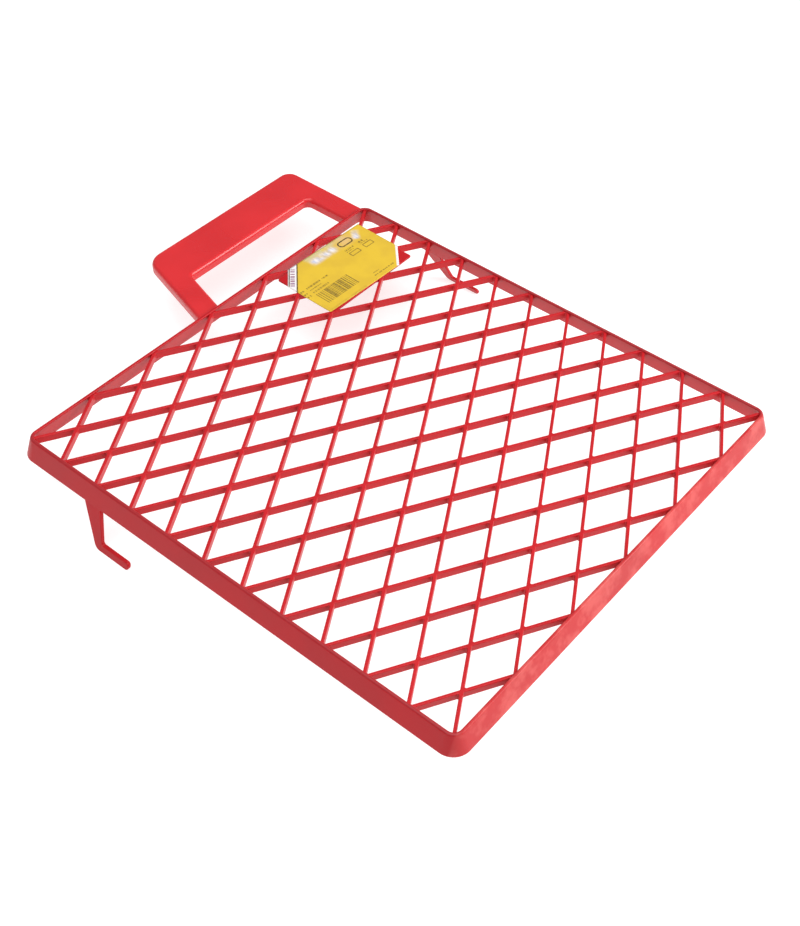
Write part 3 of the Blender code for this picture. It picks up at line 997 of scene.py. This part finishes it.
def make_black_print():
    """The slot's outline and the lines beside a cut corner."""
    rows = [
        print_row("strip_line", black_ink, slanted(27.4, -9.4), (25.8, 0.75), 1, 1, 1, 45),
        print_row("edge_line", black_ink, slanted(31.9, -8.7), (16.2, 0.6), 1, 1, 1, 45),
    ]
    builder = bmesh.new()
    frame_line(builder, Vector((16.7, 15.6)) * MM, (10.8 * MM, 5.4 * MM), 2.5 * MM, 0.9 * MM)
    rows.append(lay_on_label(new_piece("slot", builder)))
    return join_pieces("label_print_black", rows)


def make_violet_print():
    """A row of upright marks in the corner strip."""
    row = print_row("strip_marks", violet_ink, slanted(30.0, -8.9), (15.8, 2.5), 11, 3, 11, 45)
    return join_pieces("label_print_violet", [row])


def make_olive_print():
    """Bars, rows of dashes and two boxes with a row of blots over each."""
    rows = [print_row("bars", olive_ink, (-17.0, -10.6), (24.7, 10.5), 22, 5, 7)]
    for middle, size, bars, widest, seed in OLIVE_ROWS:
        rows.append(print_row("row", olive_ink, middle, size, bars, widest, seed))
    builder = bmesh.new()
    for middle, size in (((14.1, 4.8), (7.6, 3.6)), ((25.2, 4.8), (7.2, 3.8))):
        frame_line(builder, Vector(middle) * MM, Vector(size) * MM, 0.5 * MM, 0.55 * MM)
    rows.append(lay_on_label(new_piece("boxes", builder)))
    return join_pieces("label_print_olive", rows)


# ---------------------------------------------------------------- assembly
def finish_piece(piece, material, nodes):
    """Give a piece its material and its body, and hide the imported nodes it stands for."""
    piece.data.materials.clear()
    piece.data.materials.append(material)
    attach(piece, "root")
    if nodes:
        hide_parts(*nodes)


RIM_NODES = ("rim_handle_side", "rim_left_side", "rim_foot_side", "rim_right_side")
HANDLE_NODES = ("handle_grip", "handle_left_arm", "handle_right_arm")
finish_piece(make_rim(), red_body_painted_shade, RIM_NODES)
finish_piece(make_lattice(), red_ribs, ("rib_lattice",))
finish_piece(make_plate(), red_body_painted_shade, ("label_plate",))
finish_piece(make_handle(), red_handle_painted_light, HANDLE_NODES)
finish_piece(make_hook("left_hook", "left_bucket_hook"), red_body_painted_shade, ("left_hook",))
finish_piece(make_hook("right_hook", "right_bucket_hook"), red_body_painted_shade, ("right_hook",))
finish_piece(make_label(), label_paper, ("label",))
finish_piece(make_black_print(), black_ink, ())
finish_piece(make_olive_print(), olive_ink, ())
finish_piece(make_violet_print(), violet_ink, ())


# ---------------------------------------------------------------- stage, light and camera
FLOOR_HALF_SIZE = 6.0
FLOOR_LEVEL = -0.05 * MM
FLOOR_GLOW = 0.72
SKY_STRENGTH = 0.32
LIGHT_TARGET = (0.0, 0.0, 0.03)
# Name, place, side length and power.
SOFTBOXES = (
    ("key_softbox", (0.75, -1.15, 0.75), 0.8, 16.5),
    ("top_softbox", (-0.2, -0.1, 1.6), 1.6, 20.0),
)
CAMERA_PLACE = Vector((-0.3946, -0.3569, 0.5368))
CAMERA_RIGHT = Vector((0.637, -0.771, 0.014))
CAMERA_FORWARD = Vector((0.541, 0.434, -0.721))
LENS, SENSOR_WIDTH, LENS_SHIFT = 54.6, 36.0, -0.0194


def make_floor():
    """A matt floor that glows a little, so that it stays white beside the red."""
    material, nodes, shader, place = new_material("studio_floor")
    cloud = nodes.noise(place, 6.0, 2.0)
    grey = nodes.mix(cloud, (0.46, 0.46, 0.46, 1), (0.48, 0.48, 0.48, 1))
    nodes.feed(shader.inputs["Base Color"], grey)
    shader.inputs["Roughness"].default_value = 0.9
    shader.inputs["Emission Color"].default_value = (1.0, 1.0, 1.0, 1.0)
    shader.inputs["Emission Strength"].default_value = FLOOR_GLOW
    size = FLOOR_HALF_SIZE
    corners = [(x, y, FLOOR_LEVEL) for x, y in ((-size, -size), (size, -size), (size, size), (-size, size))]
    mesh = bpy.data.meshes.new("floor")
    mesh.from_pydata(corners, [], [(0, 1, 2, 3)])
    mesh.materials.append(material)
    floor = new_object("floor", mesh)


def make_lights():
    """An even white sky, with one softbox in front and one overhead."""
    world = bpy.data.worlds.new("studio")
    world.use_nodes = True
    background = world.node_tree.nodes["Background"]
    background.inputs["Color"].default_value = (1.0, 1.0, 1.0, 1.0)
    background.inputs["Strength"].default_value = SKY_STRENGTH
    bpy.context.scene.world = world
    for name, place, size, power in SOFTBOXES:
        light = bpy.data.lights.new(name, "AREA")
        light.size = size
        light.energy = power
        item = new_object(name, light)
        item.location = place
        towards = Vector(LIGHT_TARGET) - Vector(place)
        item.rotation_euler = towards.to_track_quat("-Z", "Y").to_euler()


def make_camera():
    """A camera above the grid's near left side, looking down across it."""
    data = bpy.data.cameras.new("camera")
    data.lens = LENS
    data.sensor_width = SENSOR_WIDTH
    data.shift_x = LENS_SHIFT
    data.clip_start = 0.01
    camera = new_object("camera", data)
    right = CAMERA_RIGHT.normalized()
    forward = (CAMERA_FORWARD - right * CAMERA_FORWARD.dot(right)).normalized()
    up = right.cross(forward)
    turn = Matrix((right, up, -forward)).transposed()
    camera.matrix_world = Matrix.Translation(CAMERA_PLACE) @ turn.to_4x4()
    bpy.context.scene.camera = camera


make_floor()
make_lights()
make_camera()
bpy.context.scene.view_settings.view_transform = "Standard"
